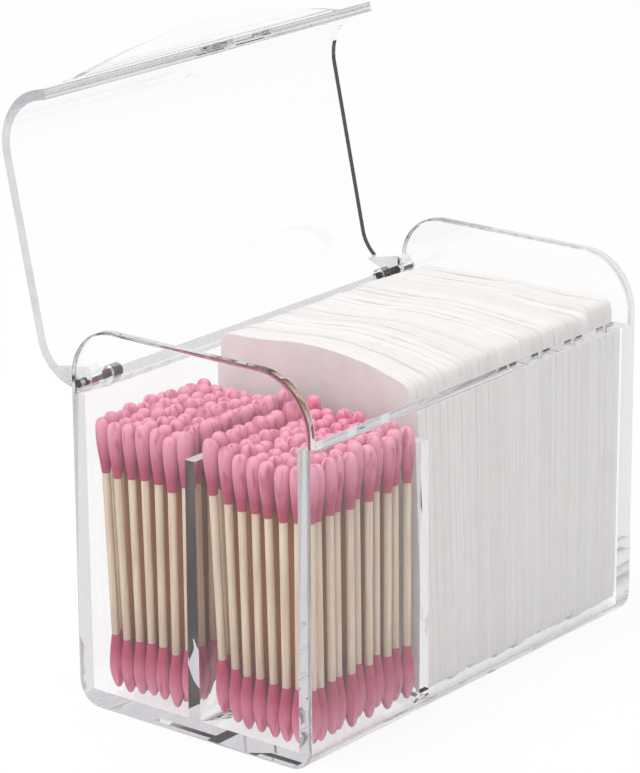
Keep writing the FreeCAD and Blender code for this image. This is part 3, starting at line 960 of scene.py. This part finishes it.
@dataclass
class PadStack:
    """The cotton pads: soft squares on edge, pressed into one block with a wavy top.

    Where a share is named, sides run from -1 at the front to 1 at the back, heights from 0 at the
    foot to 1 at the top, and the block's depth from 0 at the divider to 1 at the far pad.
    """

    pads: int = 30
    across_steps: int = 24
    up_steps: int = 16
    crease: float = 1.0
    smooth_below: float = 40.0
    fill: float = 0.35
    edge_softness: float = 1.6 * MM
    edge_thinning: float = 0.005
    corner: float = 0.75 * MM
    corner_from: float = 0.9
    sway: float = 0.5 * MM
    sway_waves: Triple = (3.0, 26.0, 9.0)
    height_spread: float = 0.3 * MM
    side_spread: float = 0.1 * MM
    uneven: float = 0.9 * MM
    ruffle: float = 0.15 * MM
    ruffle_waves: Triple = (1.7, 80.0, 80.0)
    ruffle_edges: float = 3.0
    crown: float = 2.2 * MM
    crown_width: float = 0.5
    crown_fade: float = 0.75
    crown_waves: Triple = (2.0, 30.0, 5.0)
    crown_unevenness: float = 0.5
    near_droop: float = 3.0 * MM
    droop_from: float = 0.55
    near_tuck: float = 3.0 * MM
    far_reach: float = 0.6 * MM
    far_pads: int = 4
    far_rise: float = 1.2 * MM
    rise_before: float = 0.2
    foot_lift: float = 1.2 * MM
    foot_height: float = 0.2
    foot_waves: Triple = (0.9, 20.0, 3.0)
    hinge_pads: int = 3
    hinge_tuck: float = 1.5 * MM
    hinge_from: float = 0.8

    def build(self, cotton: bpy.types.Material) -> None:
        """Build every pad.

        Args:
            cotton: The finish of the pads.
        """
        chance = random.Random(SEED)
        shifts = [0.0, *(chance.uniform(-0.5, 0.5) * self.uneven for _ in range(self.pads - 1)), 0.0]
        for number in range(1, self.pads + 1):
            node = f"cotton_pad_{number:02d}"
            piece = self.build_pad(node, number, (shifts[number - 1], shifts[number]), chance)
            dress(piece, cotton)
            declare(piece, Body.BOX, node)
            LOG.info("%s: %d faces", piece.name, len(piece.data.polygons))

    def build_pad(self, node: str, number: int, shifts: Pair, chance: random.Random) -> bpy.types.Object:
        """Model one pad: a grid stood on edge, given its thickness, softened point by point and smoothed.

        Args:
            node: The CAD node that it stands for.
            number: The pad's number from the divider.
            shifts: How far its two faces lie from the plate's, because no two pads are equally thick.
            chance: The stack's own source of small differences.

        Returns:
            The pad.
        """
        low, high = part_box(node)
        low.x, high.x = low.x + shifts[0], high.x + shifts[1]
        size = high - low
        select_none()
        bpy.ops.mesh.primitive_grid_add(x_subdivisions=self.up_steps, y_subdivisions=self.across_steps,
                                        size=1.0, location=(low + high) / 2)
        piece = bpy.context.active_object
        piece.name = f"soft_pad_{number:02d}"
        piece.rotation_euler = (0.0, math.radians(90.0), 0.0)
        piece.scale = (size.z, size.y, 1.0)
        bpy.ops.object.transform_apply(location=True, rotation=True, scale=True)
        wall = piece.modifiers.new("Thickness", "SOLIDIFY")
        wall.thickness = size.x
        wall.offset = 0.0
        wall.edge_crease_inner = wall.edge_crease_outer = self.crease
        bpy.ops.object.modifier_apply(modifier=wall.name)
        rise = chance.uniform(-1.0, 1.0) * self.height_spread
        slide = chance.uniform(-1.0, 1.0) * self.side_spread
        for vertex in piece.data.vertices:
            vertex.co = self.soften(vertex.co, low, high, number, rise, slide)
        select_only(piece)
        smooth = piece.modifiers.new("Soft", "SUBSURF")
        smooth.levels = smooth.render_levels = 1
        bpy.ops.object.modifier_apply(modifier=smooth.name)
        bpy.ops.object.mode_set(mode="EDIT")
        bpy.ops.mesh.select_all(action="SELECT")
        bpy.ops.mesh.normals_make_consistent(inside=False)
        bpy.ops.object.mode_set(mode="OBJECT")
        bpy.ops.object.shade_smooth_by_angle(angle=math.radians(self.smooth_below))
        return piece

    def soften(self, point: Vector, low: Vector, high: Vector, number: int, rise: float,
               slide: float) -> Vector:
        """Move one point of a pad: rounded corners, a wavy top edge, and a block that fans a little.

        Args:
            point: The point on the plain plate.
            low: The plate's lowest corner.
            high: The plate's highest corner.
            number: The pad's number.
            rise: How much higher this pad's top edge lies.
            slide: How far this pad lies to the back.

        Returns:
            The point's new place.
        """
        middle = (low + high) / 2
        far = (number - 1) / (self.pads - 1)
        up = (point.z - low.z) / (high.z - low.z)
        side = 2.0 * (point.y - middle.y) / (high.y - low.y)
        edge = max(0.0, min(point.y - low.y, high.y - point.y, high.z - point.z, point.z - low.z))
        full = math.sqrt(min(edge / self.edge_softness, 1.0))
        thin = 1.0 - self.edge_thinning * (1.0 - full)
        near_edge = max(0.0, 1.0 - edge / (self.ruffle_edges * self.edge_softness))
        ragged = waves(self.ruffle_waves, number, point.y, point.z) * self.ruffle * near_edge
        sway = self.sway * waves(self.sway_waves, far, point.y, point.z) * up
        crown = self.crown * math.exp(-(side / self.crown_width) ** 2) * (1.0 - self.crown_fade * far)
        crown += self.crown_unevenness * self.crown * waves(self.crown_waves, far, point.y, 1.0)
        past = max(0.0, -side - self.droop_from) / (1.0 - self.droop_from)
        droop = self.near_droop * (1.0 - far) ** 2 * past
        round_off = self.corner * (max(0.0, abs(side) - self.corner_from) / (1.0 - self.corner_from)) ** 2
        reach = self.near_tuck * (1.0 - far) ** 2 - self.far_reach * far ** 4
        across = middle.x + (point.x - middle.x) * thin + sway + ragged
        depth = point.y + reach * max(0.0, -side) * up + slide * up + ragged
        height = point.z + (rise + crown - droop - round_off) * up ** 3 + ragged * up
        foot = 0.5 + waves(self.foot_waves, number, point.y, 1.0)
        height += self.foot_lift * max(0.0, foot) * max(0.0, 1.0 - up / self.foot_height)
        if number > self.pads - self.hinge_pads:
            depth -= self.hinge_tuck * max(0.0, side - self.hinge_from) / (1.0 - self.hinge_from) * up ** 6
        if number > self.pads - self.far_pads:
            height += self.far_rise * up ** 3 * min(1.0, max(0.0, self.rise_before - side))
        return Vector((across, depth, height))


# ---------------------------------------------------------------- studio


@dataclass(frozen=True)
class Card:
    """A dark card that stands behind or beside the box."""

    name: str
    size: Pair
    place: Triple


@dataclass
class Studio:
    """The floor, the light, the dark cards and the camera."""

    azimuth: float = -51.165
    elevation: float = 17.745
    roll: float = -0.394
    distance: float = 1018.6 * MM
    aim_right: float = -11.67 * MM
    aim_up: float = 74.0 * MM
    lens: float = 173.254
    farthest: float = 20.0
    floor_size: float = 6.0
    floor_drop: float = 0.2 * MM
    floor_paint: Colour = (0.95, 0.95, 0.95)
    floor_roughness: float = 0.9
    floor_gloss: float = 0.1
    floor_white: float = 1.01
    floor_white_share: float = 0.88
    surround: float = 0.56
    lamp_watts: float = 14.5
    lamp_size: float = 1.3
    lamp_place: Triple = (-0.45, 0.15, 1.4)
    cards: tuple[Card, ...] = (Card("card_left", (0.09, 0.11), (-0.125, 0.205, 0.055)),
                               Card("card_behind_left", (0.30, 0.40), (0.25, 0.65, 0.20)),
                               Card("card_behind_right", (0.30, 0.40), (0.69, 0.11, 0.20)))
    card_target: Triple = (0.0, 0.0, 80.0 * MM)
    card_paint: Colour = (0.02, 0.02, 0.02)
    card_reflections: Pair = (1.0, 3.0)
    bounces: int = 32
    clear_bounces: int = 24

    def axes(self) -> tuple[Vector, Vector, Vector]:
        """Work out the camera's axes.

        Returns:
            Its right, its up and the direction back from what it looks at.
        """
        turn, lift, roll = (math.radians(angle) for angle in (self.azimuth, self.elevation, self.roll))
        back = Vector((math.sin(turn) * math.cos(lift), -math.cos(turn) * math.cos(lift), math.sin(lift)))
        right = (-back).cross(Vector((0.0, 0.0, 1.0))).normalized()
        up = right.cross(-back)
        rolled_right = right * math.cos(roll) + up * math.sin(roll)
        rolled_up = up * math.cos(roll) - right * math.sin(roll)
        return rolled_right, rolled_up, back

    def add_camera(self) -> None:
        """Add the camera and make it the scene's."""
        right, up, back = self.axes()
        data = bpy.data.cameras.new("camera")
        data.lens = self.lens
        data.clip_end = self.farthest
        camera = bpy.data.objects.new("camera", data)
        bpy.context.scene.collection.objects.link(camera)
        aim = right * self.aim_right + up * self.aim_up
        turn = Matrix((right, up, back)).transposed()
        camera.matrix_world = Matrix.Translation(aim + back * self.distance) @ turn.to_4x4()
        bpy.context.scene.camera = camera

    def add_plane(self, name: str, size: Pair, place: Vector, facing: Vector) -> bpy.types.Object:
        """Add a flat stage piece.

        Args:
            name: Its name.
            size: Its width and height.
            place: Its centre.
            facing: The direction that it faces.

        Returns:
            The plane.
        """
        select_none()
        bpy.ops.mesh.primitive_plane_add(size=1.0, location=place)
        plane = bpy.context.active_object
        plane.name = name
        plane.scale = (*size, 1.0)
        plane.rotation_euler = facing.to_track_quat("Z", "Y").to_euler()
        return plane

    def floor_material(self) -> bpy.types.Material:
        """Make the white floor, which keeps the object's soft shadow.

        Returns:
            The finished material.
        """
        material, tree, paint, output = fresh_material("studio_floor")
        paint.inputs["Base Color"].default_value = (*self.floor_paint, 1.0)
        paint.inputs["Roughness"].default_value = self.floor_roughness
        paint.inputs["Specular IOR Level"].default_value = self.floor_gloss
        white = tree.add("Emission", Color=(*WHITE, 1.0), Strength=self.floor_white)
        path = tree.add("LightPath").outputs
        seen = tree.any_of(path["Is Camera Ray"], path["Is Glossy Ray"], path["Is Transmission Ray"])
        share = tree.calculate("MULTIPLY", seen, self.floor_white_share)
        tree.choose(share, (paint.outputs["BSDF"], white.outputs["Emission"]), output.inputs["Surface"])
        return material

    def card_material(self) -> bpy.types.Material:
        """Make the dark card, which shows only to rays that have been reflected one to three times.

        Returns:
            The finished material.
        """
        material, tree, paint, output = fresh_material("dark_card")
        paint.inputs["Base Color"].default_value = (*self.card_paint, 1.0)
        paint.inputs["Roughness"].default_value = 1.0
        paint.inputs["Specular IOR Level"].default_value = 0.0
        nothing = tree.add("BsdfTransparent")
        first, last = self.card_reflections
        count = tree.add("LightPath").outputs["Glossy Depth"]
        middle, reach = (first + last) / 2, (last - first) / 2 + HALF_STEP
        reflected = tree.calculate("COMPARE", count, middle, reach)
        tree.choose(reflected, (nothing.outputs["BSDF"], paint.outputs["BSDF"]), output.inputs["Surface"])
        return material

    def add_world(self) -> None:
        """Add the plain surround: white where it is seen, and softer where it only lights the object."""
        world = bpy.data.worlds.new("studio")
        world.use_nodes = True
        tree = NodeTree(world.node_tree)
        nodes = world.node_tree.nodes
        seen = nodes["Background"]
        seen.inputs["Color"].default_value = (*WHITE, 1.0)
        seen.inputs["Strength"].default_value = 1.0
        light = tree.add("Background", Color=(*WHITE, 1.0), Strength=self.surround)
        lights = tree.add("LightPath").outputs["Is Diffuse Ray"]
        shaders = (seen.outputs["Background"], light.outputs["Background"])
        tree.choose(lights, shaders, nodes["World Output"].inputs["Surface"])
        bpy.context.scene.world = world

    def add_lamp(self) -> None:
        """Add the large soft lamp overhead."""
        data = bpy.data.lights.new("overhead", "AREA")
        data.energy = self.lamp_watts
        data.size = self.lamp_size
        lamp = bpy.data.objects.new("overhead", data)
        bpy.context.scene.collection.objects.link(lamp)
        place = Vector(self.lamp_place)
        lamp.location = place
        lamp.rotation_euler = place.to_track_quat("Z", "Y").to_euler()
        lamp.visible_camera = lamp.visible_glossy = lamp.visible_transmission = False

    def build(self) -> None:
        """Build the studio and set how far light is followed."""
        scene = bpy.context.scene
        scene.view_settings.view_transform = "Standard"
        scene.cycles.max_bounces = self.bounces
        scene.cycles.glossy_bounces = scene.cycles.transmission_bounces = self.clear_bounces
        self.add_camera()
        self.add_world()
        self.add_lamp()
        floor = self.add_plane("floor", (self.floor_size, self.floor_size),
                               Vector((0.0, 0.0, -self.floor_drop)), Vector((0.0, 0.0, 1.0)))
        dress(floor, self.floor_material())
        dark = self.card_material()
        for card in self.cards:
            place = Vector(card.place)
            plane = self.add_plane(card.name, card.size, place, Vector(self.card_target) - place)
            plane.visible_camera = plane.visible_diffuse = plane.visible_shadow = False
            dress(plane, dark)
        LOG.info("studio ready")


def main() -> None:
    """Build the studio and every piece of the box."""
    logging.basicConfig(level=logging.INFO, format="%(name)s: %(message)s")
    Studio().build()
    ClearMouldings().build()
    HingePins().build()
    pink = Cotton("pink_cotton", light=(0.94, 0.41, 0.55), deep=(0.50, 0.06, 0.14), fineness=20.0,
                  clumps=5.0, relief=0.18 * MM, along=(1.0, 0.45, 1.0), follows_surface=True,
                  root_painted_shade=1.0, scatter=0.05).build()
    wood = BirchStick().build()
    for lane in Lane:
        SwabLane(lane).build(pink, wood)
    white = Cotton("white_cotton", light=(0.93, 0.905, 0.89), deep=(0.88, 0.855, 0.835), fineness=900.0,
                   clumps=160.0, relief=0.15 * MM, ply_relief=0.4 * MM).build()
    PadStack().build(white)


if __name__ == "__main__":
    main()
